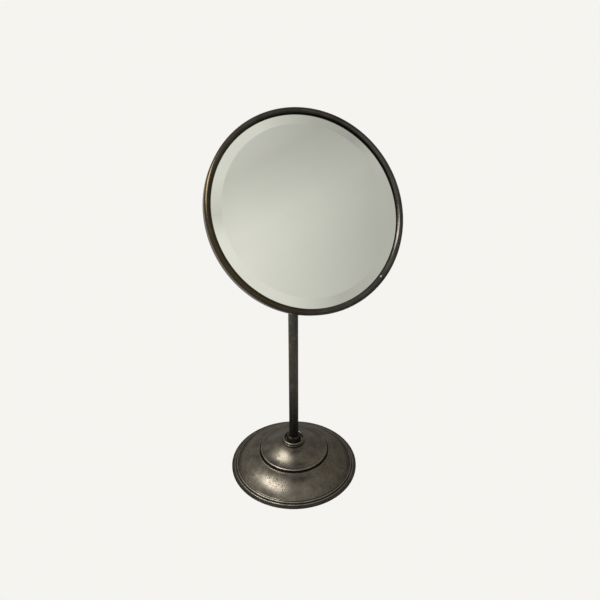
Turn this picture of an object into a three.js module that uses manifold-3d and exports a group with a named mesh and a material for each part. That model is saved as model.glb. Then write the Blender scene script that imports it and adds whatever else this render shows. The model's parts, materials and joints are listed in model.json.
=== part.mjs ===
// Extendable shaving mirror: a weighted round base, a tube with a rod that draws
// out of it, and a round bevelled mirror on a ball joint at the top of the rod.
// Millimetres, +Z up. The origin is on the underside of the felt, on the stem's axis.
// The mirror faces -Y and is tipped back by rest_tilt.

import * as THREE from 'three';
import { mergeVertices } from 'three/addons/utils/BufferGeometryUtils.js';
import Module from 'manifold-3d';

const wasm = await Module();
wasm.setup();

// ---- driving sizes --------------------------------------------------------------

const clearance = 0.3;          // gap left between pieces that touch or turn

// base
const base_radius = 77.2;       // outer edge of the lower tier
const foot_lift = 0.9;          // its underside above the table
const edge_width = 2.6;
const edge_height = 2.1;        // top of the upright edge
const lower_bead_inset = 4.1;   // middle of the lower bead inside the outer edge
const lower_bead_size = 1.15;
const lower_bead_height = 2.9;
const upper_bead_inset = 7.0;
const upper_bead_size = 1.3;
const upper_bead_height = 4.2;
const slope_inset = 8.6;        // slope's outer end inside the outer edge
const slope_lift = 1.4;         // and above the middle of the upper bead
const skirt_wall = 1.2;
const weight_play = 0.2;        // extra room round the side of the weight
const step_height = 22.4;
const step_depth = 0.6;         // step's edge above the flat that the dome stands on
const step_room = 1.9;          // step's edge outside the dome's lip
const step_bead_size = 0.6;
const dome_radius = 40.9;       // rolled lip of the dome
const dome_rise = 15.6;         // dome's top above the flat
const dome_wall = 1.1;
const dome_lip_size = 1.4;
const dome_lip_lift = 3.2;      // lip's middle above the flat
const dome_foot_inset = 1;      // dome's standing edge inside the middle of the lip
const dome_neck_margin = 0.6;   // level top outside the neck ring
const felt_thickness = 1.5;
const felt_margin = 1;
const pocket_room = 1;          // pocket in the weight, round the washer
const pocket_depth_room = 2;    // and below the nut
const tube_above_felt = 1.1;

// neck
const lock_nut_wall = 1.65;     // metal outside the nut's hole, at its flats
const lock_nut_height = 7.2;
const neck_room = 2.2;          // gap round the corners of the nut
const neck_lip_size = 1.5;
const neck_ring_height = 4.6;
const neck_ring_floor_thickness = 1;
const tie_nut_wall = 2.5;
const tie_nut_height = 5.4;
const washer_overhang = 2.4;    // washer outside the corners of the tie nut
const washer_thickness = 1.5;

// stem
const tube_radius = 5.5;
const tube_wall = 0.7;
const rod_play = 1.4;           // gap round the rod in the tube
const travel = 180;             // how far the rod draws out
const stop_gap = 0.6;           // left between the bush and the packing at the end
const bush_length = 34;
const bush_shoulder = 1.1;      // step down to the rod's thin end inside the bush
const bush_slit = 0.9;
const rod_end_stand = 0.4;      // rod's end below the bush
const rod_end_wall = 0.9;       // metal round the screw in the rod's end
const end_screw_length = 8;
const end_screw_head_height = 2;
const end_screw_head_room = 1;  // between the screw's head and the tube
const cap_skirt_length = 9;     // mouth cap's threaded skirt
const cap_wall = 1.6;
const cap_roof = 1.3;
const packing_thickness = 1.5;
const packing_gap = 0.2;
const elbow_gap = 0.5;          // between the mouth cap and the elbow, rod down

// elbow and ball
const ball_height = 337;        // ball's centre with the rod right down
const ball_radius = 8;
const stud_angle = 20;          // stud's rise from level, degrees
const stud_neck_radius = 3;
const stud_neck_length = 4.16;  // bare neck between the boss and the ball
const stud_tail_radius = 2.2;
const stud_tail_gap = 1.2;      // tail's end in front of the stem's axis
const elbow_wall = 2.8;         // barrel outside the rod
const elbow_below = 12;         // barrel below the stud's axis
const elbow_above = 6;          // barrel above it
const elbow_crown = 2.2;
const boss_wall = 2.1;
const boss_stand = 1.4;         // boss in front of the barrel
const tenon_shoulder = 0.8;     // step down to the rod's top end in the elbow
const rod_tenon_length = 8.4;
const pin_radius = 1;
const pin_play = 0.25;

// ball joint
const pad_thickness = 1.2;
const front_pad_edge = 45;      // degrees from straight ahead
const rear_pad_start = 62;
const rear_pad_edge = 108;
const socket_rear_angle = 118;  // how far the rear dish wraps the ball
const socket_wall = 1.6;
const cup_wall = 3.4;
const cup_roof = 2.8;           // metal in front of the ball's bowl
const socket_flange_thickness = 2.2;
const socket_screw_count = 3;
const socket_screw_radius = 1.4;
const screw_head_radius = 2.9;
const screw_head_height = 1.9;
const screw_head_room = 2.2;    // between a screw's head and the rear dish
const flange_margin = 3.5;      // flange outside the ring of screws
const slot_width = 0.8;         // screwdriver slot
const head_gap = 0.25;          // under a screw's or a rivet's head
const mount_plate_margin = 10;  // plate outside the flange
const mount_plate_thickness = 2.4;
const rivet_count = 4;
const rivet_edge = 4.5;         // rivets inside the plate's edge
const rivet_radius = 1.35;
const rivet_head_radius = 2.8;
const rivet_head_height = 1.4;
const rivet_tail_radius = 2.4;
const rivet_tail_height = 1.1;

// mirror head, measured forwards from the ball's centre
const rest_tilt = 33;           // degrees back from upright
const frame_radius = 100;
const bead_radius = 3.15;
const frame_wall = 0.9;
const wall_inset = 0.5;         // side wall lies this far inside the bead's edge
const crimp_width = 4;
const lip_tuck = 0.25;          // bead's lip ends this far behind the bead's middle
const glass_gap = 1;            // between the glass and the side wall
const glass_thickness = 4.9;
const bevel_width = 13.6;
const bevel_drop = 1.3;
const card_thickness = 1.5;
const pan_gap = 0.6;            // between the pan's rim and the side wall
const pan_wall = 0.9;
const pan_bulge = 3.1;          // pan's flat behind the frame
const pan_corner = 3;
const pan_flat_margin = 4;      // pan's flat outside the mount plate
const crimp_gap = 0.7;          // between the pan's wall and the crimped edge
const seam_angle = -52.5;       // degrees round the frame from the right-hand side
const seam_gap = 0.35;
const splice_half_angle = 5;    // degrees
const splice_thickness = 0.4;
const splice_width = 4;

// ---- worked-out places -----------------------------------------------------------

const degrees = Math.PI / 180;

// tube and rod
const tube_bore = tube_radius - tube_wall;
const tube_hole = tube_radius + clearance;
const rod_radius = tube_bore - rod_play;
const bush_core_radius = rod_radius - bush_shoulder;
const end_screw_radius = bush_core_radius - rod_end_wall - clearance;

// base
const lower_bead_radius = base_radius - lower_bead_inset;
const upper_bead_radius = base_radius - upper_bead_inset;
const slope_radius = base_radius - slope_inset;
const slope_height = upper_bead_height + slope_lift;
const step_radius = dome_radius + step_room;
const seat_height = step_height - step_depth;
const dome_top = seat_height + dome_rise;
const dome_lip_height = seat_height + dome_lip_lift;
const lock_nut_corner = (tube_hole + lock_nut_wall) / Math.cos(30 * degrees);
const neck_ring_radius = lock_nut_corner + neck_room + 2 * neck_lip_size;
const neck_ring_bottom = dome_top + clearance;
const neck_ring_floor = neck_ring_bottom + neck_ring_floor_thickness;
const lock_nut_bottom = neck_ring_floor + clearance;
const tie_nut_corner = (tube_hole + tie_nut_wall) / Math.cos(30 * degrees);
const washer_radius = tie_nut_corner + washer_overhang;
const pocket_radius = washer_radius + pocket_room;
const tie_nut_bottom = felt_thickness + pocket_depth_room;
const tie_washer_bottom = tie_nut_bottom + tie_nut_height + clearance;
const tie_washer_top = tie_washer_bottom + washer_thickness;
const pocket_roof = tie_washer_top + clearance;
const tube_bottom = felt_thickness + tube_above_felt;

// elbow and stud
const elbow_radius = rod_radius + elbow_wall;
const rod_tenon_radius = rod_radius - tenon_shoulder;
const boss_radius = stud_tail_radius + clearance + boss_wall;
const boss_reach = elbow_radius + boss_stand;
const neck_to_ball = Math.sqrt(ball_radius ** 2 - stud_neck_radius ** 2);
const stud_length = boss_reach + clearance + stud_neck_length + neck_to_ball;
const ball_reach = stud_length * Math.cos(stud_angle * degrees);
const stud_rise = stud_length * Math.sin(stud_angle * degrees);
const elbow_height = ball_height - stud_rise;
const elbow_bottom = elbow_height - elbow_below;

// stem heights, from the elbow down
const cap_top = elbow_bottom - elbow_gap;
const packing_top = cap_top - cap_roof - packing_gap;
const packing_bottom = packing_top - packing_thickness;
const tube_top = packing_bottom - packing_gap;
const bush_top = tube_top - travel - stop_gap;
const bush_bottom = bush_top - bush_length;
const rod_bottom = bush_bottom - rod_end_stand;

// ball joint, from the ball outwards
const pad_inner = ball_radius + clearance;
const pad_outer = pad_inner + pad_thickness;
const socket_bore = pad_outer + clearance;
const socket_back = socket_bore + socket_wall;
const cup_neck_radius = socket_bore + cup_wall;
const socket_screw_circle = socket_back + screw_head_room + screw_head_radius;
const socket_flange_radius = socket_screw_circle + flange_margin;
const mount_plate_radius = socket_flange_radius + mount_plate_margin;
const rivet_circle = mount_plate_radius - rivet_edge;
const screw_hole = socket_screw_radius + clearance;
const rivet_hole = rivet_radius + clearance;
const parting = clearance / 2;
const flange_top = parting + socket_flange_thickness;

// mirror head, from the mount plate forwards
const plate_front = socket_bore + cup_roof;
const plate_back = plate_front - mount_plate_thickness;
const pan_back = plate_front + clearance;
const pan_front = pan_back + pan_wall;
const frame_back = pan_back + pan_bulge;
const pan_rim_back = frame_back + frame_wall + clearance;
const pan_rim_front = pan_rim_back + pan_wall;
const card_back = pan_rim_front + clearance;
const card_front = card_back + card_thickness;
const glass_back = card_front + clearance;
const glass_front = glass_back + glass_thickness;
const glass_edge_front = glass_front - bevel_drop;
const bead_circle = frame_radius - bead_radius;
const lip_radius = bead_circle - bead_radius;
const wall_radius = frame_radius - wall_inset;
const inner_wall = wall_radius - frame_wall;
const glass_radius = inner_wall - glass_gap;
const bevel_rise = (bevel_drop * (glass_radius - lip_radius)) / bevel_width;
const lip_end = glass_edge_front + bevel_rise + clearance;
const bead_height = lip_end + lip_tuck;
const front_height = bead_height + bead_radius;
const pan_rim_radius = inner_wall - pan_gap;
const pan_side_radius = wall_radius - crimp_width - crimp_gap;

// ---- materials --------------------------------------------------------------------

function finish(name, colour, roughness, metalness) {
  return new THREE.MeshStandardMaterial({ name, color: colour, roughness, metalness });
}

const aged_nickel = finish('aged_nickel', 0x6b665e, 0.38, 0.9);
const dark_stem = finish('dark_stem_metal', 0x4f4d49, 0.45, 0.9);
const black_nut = finish('blackened_steel', 0x24211e, 0.5, 0.8);
const bronze_frame = finish('bronzed_frame', 0x564a3c, 0.35, 0.9);
const plain_brass = finish('plain_brass', 0x9a7f4a, 0.4, 0.9);
const cast_iron = finish('cast_iron', 0x3a3a3a, 0.75, 0.6);
const steel = finish('plain_steel', 0x8c8c8c, 0.4, 0.9);
const felt = finish('green_felt', 0x2f3b2c, 0.95, 0);
const card = finish('grey_card', 0x77705f, 0.9, 0);
const leather = finish('leather', 0x5a3a24, 0.8, 0);
const silvered_glass = finish('silvered_glass', 0xc9ccc4, 0.04, 0.95);

// ---- shaping helpers ---------------------------------------------------------------

function at(radius, height) {
  return new THREE.Vector2(radius, height);
}

// Points round an arc, angles in degrees from straight out.
function arc(radius, height, size, from, to, steps) {
  const points = [];
  for (let i = 0; i <= steps; i += 1) {
    const angle = (from + ((to - from) * i) / steps) * degrees;
    points.push(at(radius + size * Math.cos(angle), height + size * Math.sin(angle)));
  }
  return points;
}

// A smooth curve from start to end, moved inwards by the given offset.
function sweep(start, pull_start, pull_end, end, offset, steps) {
  const curve = new THREE.CubicBezierCurve(start, pull_start, pull_end, end);
  const points = [];
  for (let i = 0; i <= steps; i += 1) {
    const point = curve.getPoint(i / steps);
    const along = curve.getTangent(i / steps);
    points.push(at(point.x - offset * along.y, point.y + offset * along.x));
  }
  return points;
}

function turned_area(outline) {
  let area = 0;
  outline.forEach((point, i) => {
    const next = outline[(i + 1) % outline.length];
    area += point.x * next.y - next.x * point.y;
  });
  return area / 2;
}

// A solid of revolution about Z from its outline (radius, height).
function turned(outline, sides = 48) {
  const loop = turned_area(outline) > 0 ? [...outline] : [...outline].reverse();
  const on_axis = loop.filter((point) => point.x === 0).length;
  if (on_axis === 0) {
    loop.push(loop[0].clone());
  } else {
    while (!(loop[0].x === 0 && loop[loop.length - 1].x === 0)) {
      loop.push(loop.shift());
    }
  }
  const geometry = new THREE.LatheGeometry(loop, sides);
  geometry.rotateX(Math.PI / 2);
  return geometry;
}

function rod_along_z(radius, bottom, top, sides = 24) {
  return turned([at(0, bottom), at(radius, bottom), at(radius, top), at(0, top)], sides);
}

function sleeve(inner, outer, bottom, top, sides = 48) {
  return turned([at(inner, bottom), at(outer, bottom), at(outer, top), at(inner, top)], sides);
}

function hexagon_nut(corner, hole, bottom, height) {
  const shape = new THREE.Shape();
  for (let i = 0; i < 6; i += 1) {
    const angle = (i + 0.5) * 60 * degrees;
    if (i === 0) {
      shape.moveTo(corner * Math.cos(angle), corner * Math.sin(angle));
    } else {
      shape.lineTo(corner * Math.cos(angle), corner * Math.sin(angle));
    }
  }
  shape.closePath();
  const opening = new THREE.Path();
  opening.absarc(0, 0, hole, 0, 2 * Math.PI, true);
  shape.holes.push(opening);
  const options = { depth: height, bevelEnabled: false, curveSegments: 16 };
  const geometry = new THREE.ExtrudeGeometry(shape, options);
  geometry.translate(0, 0, bottom);
  return geometry;
}

function to_solid(geometry) {
  const plain = geometry.clone();
  plain.deleteAttribute('normal');
  plain.deleteAttribute('uv');
  const merged = mergeVertices(plain, 1e-4);
  const vertProperties = new Float32Array(merged.attributes.position.array);
  const triVerts = new Uint32Array(merged.index.array);
  return new wasm.Manifold(new wasm.Mesh({ numProp: 3, vertProperties, triVerts }));
}

function to_geometry(solid) {
  const mesh = solid.getMesh();
  const geometry = new THREE.BufferGeometry();
  geometry.setAttribute('position', new THREE.BufferAttribute(mesh.vertProperties, 3));
  geometry.setIndex(new THREE.BufferAttribute(mesh.triVerts, 1));
  geometry.computeVertexNormals();
  return geometry;
}

function cut(body, ...tools) {
  return to_geometry(tools.reduce((left, tool) => left.subtract(to_solid(tool)), to_solid(body)));
}

function join(body, ...others) {
  return to_geometry(others.reduce((sum, other) => sum.add(to_solid(other)), to_solid(body)));
}

// Places for a ring of equal fixings.
function ring_places(count, circle, first_angle) {
  return Array.from({ length: count }, (_, i) => {
    const angle = (first_angle + (360 * i) / count) * degrees;
    return { x: circle * Math.cos(angle), y: circle * Math.sin(angle) };
  });
}

function moved(geometry, x, y, z) {
  geometry.translate(x, y, z);
  return geometry;
}

const whole = new THREE.Group();
whole.name = 'extendable_shaving_mirror';

function add(parent, name, geometry, material) {
  const mesh = new THREE.Mesh(geometry, material);
  mesh.name = name;
  parent.add(mesh);
  return mesh;
}

// ---- base ----------------------------------------------------------------------------

// A point part of the way from one end of a slope to the other.
function between(outer_end, inner_end, run, rise) {
  const radius = outer_end.x + run * (inner_end.x - outer_end.x);
  return at(radius, outer_end.y + rise * (inner_end.y - outer_end.y));
}

// Upper face of the lower tier, from the outer bead in to the step.
function tier_slope(offset, steps) {
  const outer_end = at(slope_radius, slope_height);
  const inner_end = at(step_radius + 1, step_height);
  const steep = between(outer_end, inner_end, 0.19, 0.47);
  const shallow = between(outer_end, inner_end, 0.59, 0.89);
  return sweep(outer_end, steep, shallow, inner_end, offset, steps);
}

// Upper face of the dome, from the rolled lip in to the neck.
function dome_slope(offset, steps) {
  const lip_radius_in = dome_radius - 2 * dome_lip_size - 0.1;
  const lip_side = at(lip_radius_in, dome_lip_height + dome_lip_size - 0.1);
  const neck_side = at(neck_ring_radius + dome_neck_margin, dome_top);
  const flare = between(lip_side, neck_side, 0.38, 0.11);
  const shoulder = between(lip_side, neck_side, 0.61, 0.88);
  return sweep(lip_side, flare, shoulder, neck_side, offset, steps);
}

function make_skirt() {
  const outline = [
    at(base_radius - edge_width, foot_lift),
    at(base_radius, foot_lift),
    at(base_radius, edge_height),
    at(base_radius - 0.6, edge_height + 0.4),
    ...arc(lower_bead_radius, lower_bead_height, lower_bead_size, -10, 125, 4),
    ...arc(upper_bead_radius, upper_bead_height, upper_bead_size, -15, 125, 4),
    ...tier_slope(0, 7),
    ...arc(step_radius, step_height, step_bead_size, 60, 180, 3),
    at(step_radius - 2 * step_bead_size, seat_height),
    at(tube_hole, seat_height),
    at(tube_hole, seat_height - skirt_wall),
    ...tier_slope(skirt_wall, 6).reverse(),
    at(upper_bead_radius, upper_bead_height - skirt_wall),
    at(lower_bead_radius, lower_bead_height - skirt_wall),
  ];
  return turned(outline, 44);
}

function make_dome() {
  const lip_middle = dome_radius - dome_lip_size;
  const foot_height = seat_height + clearance;
  const stand_radius = lip_middle - dome_foot_inset;
  const outline = [
    at(stand_radius - dome_wall, foot_height),
    at(stand_radius, foot_height),
    ...arc(lip_middle, dome_lip_height, dome_lip_size, -120, 100, 5),
    ...dome_slope(0, 7),
    at(tube_hole, dome_top),
    at(tube_hole, dome_top - dome_wall),
    ...dome_slope(dome_wall, 5).reverse(),
  ];
  return turned(outline, 38);
}

function make_weight() {
  const bottom = felt_thickness + clearance;
  const under = tier_slope(skirt_wall + clearance + weight_play, 6);
  const side = under[0].x;
  const outline = [
    at(pocket_radius, bottom),
    at(side, bottom),
    ...under,
    at(tube_hole, seat_height - skirt_wall - clearance),
    at(tube_hole, pocket_roof),
    at(pocket_radius, pocket_roof),
  ];
  return turned(outline, 36);
}

function make_neck_ring() {
  const lip = neck_lip_size;
  const lip_height = neck_ring_bottom + neck_ring_height - lip;
  const outline = [
    at(tube_hole, neck_ring_bottom),
    at(neck_ring_radius - 0.5, neck_ring_bottom),
    at(neck_ring_radius, neck_ring_bottom + 0.5),
    at(neck_ring_radius - 1, neck_ring_bottom + 1.1),
    ...arc(neck_ring_radius - lip, lip_height, lip, -40, 180, 5),
    at(neck_ring_radius - 2 * lip, neck_ring_floor),
    at(tube_hole, neck_ring_floor),
  ];
  return turned(outline, 36);
}

const felt_radius = lower_bead_radius - felt_margin;
add(whole, 'base_felt', rod_along_z(felt_radius, 0, felt_thickness, 48), felt);
add(whole, 'base_weight', make_weight(), cast_iron);
add(whole, 'base_skirt', make_skirt(), aged_nickel);
add(whole, 'base_dome', make_dome(), aged_nickel);
add(whole, 'neck_ring', make_neck_ring(), aged_nickel);

const lock_nut = hexagon_nut(lock_nut_corner, tube_hole, lock_nut_bottom, lock_nut_height);
add(whole, 'lock_nut', lock_nut, black_nut);

add(whole, 'tie_washer', sleeve(tube_hole, washer_radius, tie_washer_bottom, tie_washer_top, 32), steel);
add(whole, 'tie_nut', hexagon_nut(tie_nut_corner, tube_hole, tie_nut_bottom, tie_nut_height), steel);

// ---- stem ----------------------------------------------------------------------------

add(whole, 'outer_tube', sleeve(tube_bore, tube_radius, tube_bottom, tube_top, 32), dark_stem);

function make_mouth_cap() {
  const skirt_bore = tube_hole;
  const outer = skirt_bore + cap_wall;
  const rod_hole = rod_radius + clearance;
  return turned([
    at(skirt_bore, tube_top - cap_skirt_length),
    at(outer - 0.5, tube_top - cap_skirt_length),
    at(outer, tube_top - cap_skirt_length + 0.5),
    at(outer, cap_top - 0.8),
    at(outer - 0.8, cap_top),
    at(rod_hole, cap_top),
    at(rod_hole, cap_top - cap_roof),
    at(skirt_bore, cap_top - cap_roof),
  ], 28);
}

const packing_outer = tube_hole - clearance;
const packing_bore = rod_radius + clearance;
add(whole, 'mouth_cap', make_mouth_cap(), dark_stem);
add(whole, 'packing_washer', sleeve(packing_bore, packing_outer, packing_bottom, packing_top, 32), leather);

function make_bush() {
  const bore = bush_core_radius + clearance;
  const outer = tube_bore - clearance;
  const slit = new THREE.BoxGeometry(2 * outer, bush_slit, bush_length + 2);
  slit.translate(outer, 0, bush_bottom + bush_length / 2);
  return cut(sleeve(bore, outer, bush_bottom, bush_top, 32), slit);
}

add(whole, 'friction_bush', make_bush(), plain_brass);

function make_rod() {
  const shaft_top = elbow_bottom - packing_gap;
  const shaft = turned([
    at(0, rod_bottom),
    at(bush_core_radius, rod_bottom),
    at(bush_core_radius, bush_top + clearance),
    at(rod_radius, bush_top + clearance),
    at(rod_radius, shaft_top),
    at(rod_tenon_radius, shaft_top),
    at(rod_tenon_radius, elbow_bottom + rod_tenon_length),
    at(0, elbow_bottom + rod_tenon_length),
  ], 24);
  const hole_radius = end_screw_radius + clearance;
  const end_hole = rod_along_z(hole_radius, rod_bottom - 1, rod_bottom + end_screw_length + 1, 16);
  return cut(shaft, end_hole, pin_blank(pin_radius + pin_play, 3 * elbow_radius));
}

// A cylinder across the stem at the height of the elbow's pin.
function pin_blank(radius, length) {
  const blank = new THREE.CylinderGeometry(radius, radius, length, 16);
  blank.rotateZ(Math.PI / 2);
  return moved(blank, 0, 0, elbow_bottom + rod_tenon_length / 2);
}

function make_end_screw() {
  const head_top = rod_bottom - clearance;
  const head_height = end_screw_head_height;
  const head_radius = tube_bore - end_screw_head_room;
  const body = turned([
    at(0, head_top - head_height),
    at(head_radius, head_top - head_height),
    at(head_radius, head_top),
    at(end_screw_radius, head_top),
    at(end_screw_radius, rod_bottom + end_screw_length),
    at(0, rod_bottom + end_screw_length),
  ], 24);
  const slot = new THREE.BoxGeometry(3 * head_radius, slot_width, 0.8 * head_height);
  return cut(body, moved(slot, 0, 0, head_top - head_height));
}

add(whole, 'inner_rod', make_rod(), dark_stem);
add(whole, 'rod_end_screw', make_end_screw(), steel);

// ---- elbow and ball stud -----------------------------------------------------------

// Turns a piece made along +Z so that it lies along the stud, forwards and up.
function along_stud(geometry) {
  geometry.rotateX((90 - stud_angle) * degrees);
  return geometry;
}

function make_elbow() {
  const top = elbow_height + elbow_above;
  const crown = elbow_crown;
  const barrel = turned([
    at(0, elbow_bottom),
    at(elbow_radius - 0.5, elbow_bottom),
    at(elbow_radius, elbow_bottom + 0.5),
    ...arc(elbow_radius - crown, top - crown, crown, 0, 90, 4),
    at(0, top),
  ], 28);
  const boss = moved(along_stud(rod_along_z(boss_radius, 0, boss_reach, 24)), 0, 0, elbow_height);
  const rod_hole_top = elbow_bottom + rod_tenon_length + clearance;
  const rod_hole = rod_along_z(rod_tenon_radius + clearance, elbow_bottom - 1, rod_hole_top, 24);
  const stud_hole = along_stud(rod_along_z(stud_tail_radius + clearance, 0.9, boss_reach + 1, 24));
  const pin_hole = pin_blank(pin_radius + pin_play, 3 * elbow_radius);
  return cut(join(barrel, boss), rod_hole, moved(stud_hole, 0, 0, elbow_height), pin_hole);
}

function make_ball_stud() {
  const tail_end = stud_tail_gap - stud_length;
  const shoulder = -stud_length + boss_reach + clearance;
  const neck_meets_ball = Math.acos(stud_neck_radius / ball_radius) / degrees;
  return turned([
    at(0, tail_end),
    at(stud_tail_radius, tail_end),
    at(stud_tail_radius, shoulder),
    at(stud_neck_radius, shoulder),
    ...arc(0, 0, ball_radius, -neck_meets_ball, 78, 12),
    at(0, ball_radius),
  ], 28);
}

add(whole, 'elbow', make_elbow(), dark_stem);
add(whole, 'elbow_pin', pin_blank(pin_radius, 2 * elbow_radius - 0.6), steel);
const ball_stud = add(whole, 'ball_stud', along_stud(make_ball_stud()), steel);
ball_stud.position.set(0, -ball_reach, ball_height);

// ---- ball joint and mirror head ------------------------------------------------------

// Inside this group +Z is the way the mirror faces and +Y is up its face.
const head = new THREE.Group();
head.name = 'mirror_head';
head.position.set(0, -ball_reach, ball_height);
head.rotation.x = (90 - rest_tilt) * degrees;
whole.add(head);

// Part of a hollow sphere round the ball, angles in degrees from straight ahead.
function ball_shell(inner, outer, from, to) {
  const inside = arc(0, 0, inner, 90 - from, 90 - to, 5);
  const outside = arc(0, 0, outer, 90 - to, 90 - from, 5);
  if (from === 0) {
    inside[0].x = 0;
    outside[outside.length - 1].x = 0;
  }
  return turned([...inside, ...outside], 28);
}

add(head, 'ball_pad_rear', ball_shell(pad_inner, pad_outer, rear_pad_start, rear_pad_edge), leather);
add(head, 'ball_pad_front', ball_shell(pad_inner, pad_outer, 0, front_pad_edge), leather);

const screw_places = ring_places(socket_screw_count, socket_screw_circle, 90);
const rivet_places = ring_places(rivet_count, rivet_circle, 45);

function holes(places, radius, bottom, top) {
  return places.map(({ x, y }) => moved(rod_along_z(radius, bottom, top, 12), x, y, 0));
}

function make_socket_cup() {
  const bowl_edge = Math.asin(parting / socket_bore) / degrees;
  const bowl = arc(0, 0, socket_bore, 90, bowl_edge, 7);
  bowl[0].x = 0;
  const body = turned([
    ...bowl,
    at(socket_flange_radius, parting),
    at(socket_flange_radius, flange_top),
    at(cup_neck_radius, flange_top),
    at(cup_neck_radius, plate_back),
    at(mount_plate_radius - 0.6, plate_back),
    at(mount_plate_radius, plate_back + 0.6),
    at(mount_plate_radius, plate_front),
    at(0, plate_front),
  ], 30);
  const screw_holes = holes(screw_places, screw_hole, parting - 1, flange_top + 1);
  const rivet_holes = holes(rivet_places, rivet_hole, plate_back - 1, plate_front + 1);
  return cut(body, ...screw_holes, ...rivet_holes);
}

function make_socket_cap() {
  const bowl_edge = -Math.asin(parting / socket_bore) / degrees;
  const mouth = 90 - socket_rear_angle;
  const flange_edge = -Math.asin(flange_top / socket_back) / degrees;
  const body = turned([
    at(socket_flange_radius, -parting),
    ...arc(0, 0, socket_bore, bowl_edge, mouth, 4),
    ...arc(0, 0, socket_back, mouth, flange_edge, 3),
    at(socket_flange_radius, -flange_top),
  ], 32);
  return cut(body, ...holes(screw_places, screw_hole, -flange_top - 1, parting + 1));
}

add(head, 'socket_cup', make_socket_cup(), dark_stem);
add(head, 'socket_cap', make_socket_cap(), dark_stem);

function make_socket_screw() {
  const head_front = -flange_top - head_gap;
  const head_back = head_front - screw_head_height;
  const body = turned([
    at(0, head_back),
    at(screw_head_radius - 0.4, head_back),
    at(screw_head_radius, head_back + 0.4),
    at(screw_head_radius, head_front),
    at(socket_screw_radius, head_front),
    at(socket_screw_radius, flange_top - 0.2),
    at(0, flange_top - 0.2),
  ], 14);
  const slot = new THREE.BoxGeometry(3 * screw_head_radius, slot_width, 0.7 * screw_head_height);
  return cut(body, moved(slot, 0, 0, head_back));
}

screw_places.forEach(({ x, y }, i) => {
  const screw = add(head, `socket_screw_${i + 1}`, make_socket_screw(), steel);
  screw.position.set(x, y, 0);
});

function make_rivet() {
  const dome_base = plate_back - head_gap;
  const tail_base = pan_front + head_gap;
  return turned([
    at(0, dome_base - rivet_head_height),
    at(rivet_head_radius / 2, dome_base - 0.8 * rivet_head_height),
    at(rivet_head_radius - 0.4, dome_base - 0.35 * rivet_head_height),
    at(rivet_head_radius, dome_base),
    at(rivet_radius, dome_base),
    at(rivet_radius, tail_base),
    at(rivet_tail_radius, tail_base),
    at(rivet_tail_radius - 0.2, tail_base + rivet_tail_height - 0.1),
    at(0, tail_base + rivet_tail_height),
  ], 14);
}

rivet_places.forEach(({ x, y }, i) => {
  const rivet = add(head, `plate_rivet_${i + 1}`, make_rivet(), plain_brass);
  rivet.position.set(x, y, 0);
});

function make_back_pan() {
  const flat_radius = mount_plate_radius + pan_flat_margin;
  const corner_middle = pan_side_radius - pan_corner;
  const body = turned([
    at(0, pan_back),
    at(flat_radius, pan_back),
    ...arc(corner_middle, pan_rim_back, pan_corner, -84, 0, 3),
    at(pan_rim_radius, pan_rim_back),
    at(pan_rim_radius, pan_rim_front),
    at(pan_side_radius - pan_wall, pan_rim_front),
    ...arc(corner_middle, pan_rim_back, pan_corner - pan_wall, 0, -84, 3),
    at(flat_radius, pan_front),
    at(0, pan_front),
  ], 44);
  return cut(body, ...holes(rivet_places, rivet_hole, pan_back - 1, pan_front + 1));
}

add(head, 'back_pan', make_back_pan(), bronze_frame);
add(head, 'backing_card', rod_along_z(glass_radius, card_back, card_front, 56), card);

add(head, 'mirror_glass', turned([
  at(0, glass_back),
  at(glass_radius, glass_back),
  at(glass_radius, glass_edge_front),
  at(glass_radius - bevel_width, glass_front),
  at(0, glass_front),
], 72), silvered_glass);

function make_bezel() {
  const meet = -Math.acos((wall_radius - bead_circle) / bead_radius) / degrees;
  const inner_bead = bead_radius - frame_wall;
  const inner_meet = -Math.acos((inner_wall - bead_circle) / inner_bead) / degrees;
  const ring = turned([
    at(wall_radius - crimp_width, frame_back),
    at(wall_radius, frame_back),
    ...arc(bead_circle, bead_height, bead_radius, meet, 180, 9),
    at(lip_radius, lip_end),
    at(lip_radius + frame_wall, lip_end),
    ...arc(bead_circle, bead_height, inner_bead, 180, inner_meet, 6),
    at(inner_wall, frame_back + frame_wall),
    at(wall_radius - crimp_width, frame_back + frame_wall),
  ], 64);
  const frame_depth = front_height - frame_back;
  const gap = new THREE.BoxGeometry(4 * crimp_width, seam_gap, 2 * frame_depth);
  gap.translate(bead_circle, 0, front_height - frame_depth / 2);
  gap.rotateZ(seam_angle * degrees);
  return cut(ring, gap);
}

// A short strip behind the frame's butt joint.
function make_splice() {
  const outer = inner_wall - head_gap;
  const inner = outer - splice_thickness;
  const shape = new THREE.Shape();
  const from = (seam_angle - splice_half_angle) * degrees;
  const to = (seam_angle + splice_half_angle) * degrees;
  shape.absarc(0, 0, outer, from, to, false);
  shape.absarc(0, 0, inner, to, from, true);
  shape.closePath();
  const options = { depth: splice_width, bevelEnabled: false, curveSegments: 8 };
  return moved(new THREE.ExtrudeGeometry(shape, options), 0, 0, pan_rim_front + clearance);
}

add(head, 'bezel', make_bezel(), bronze_frame);
add(head, 'seam_splice', make_splice(), plain_brass);

export default whole;
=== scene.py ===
import json
import math

import bpy
from mathutils import Matrix, Vector


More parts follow.
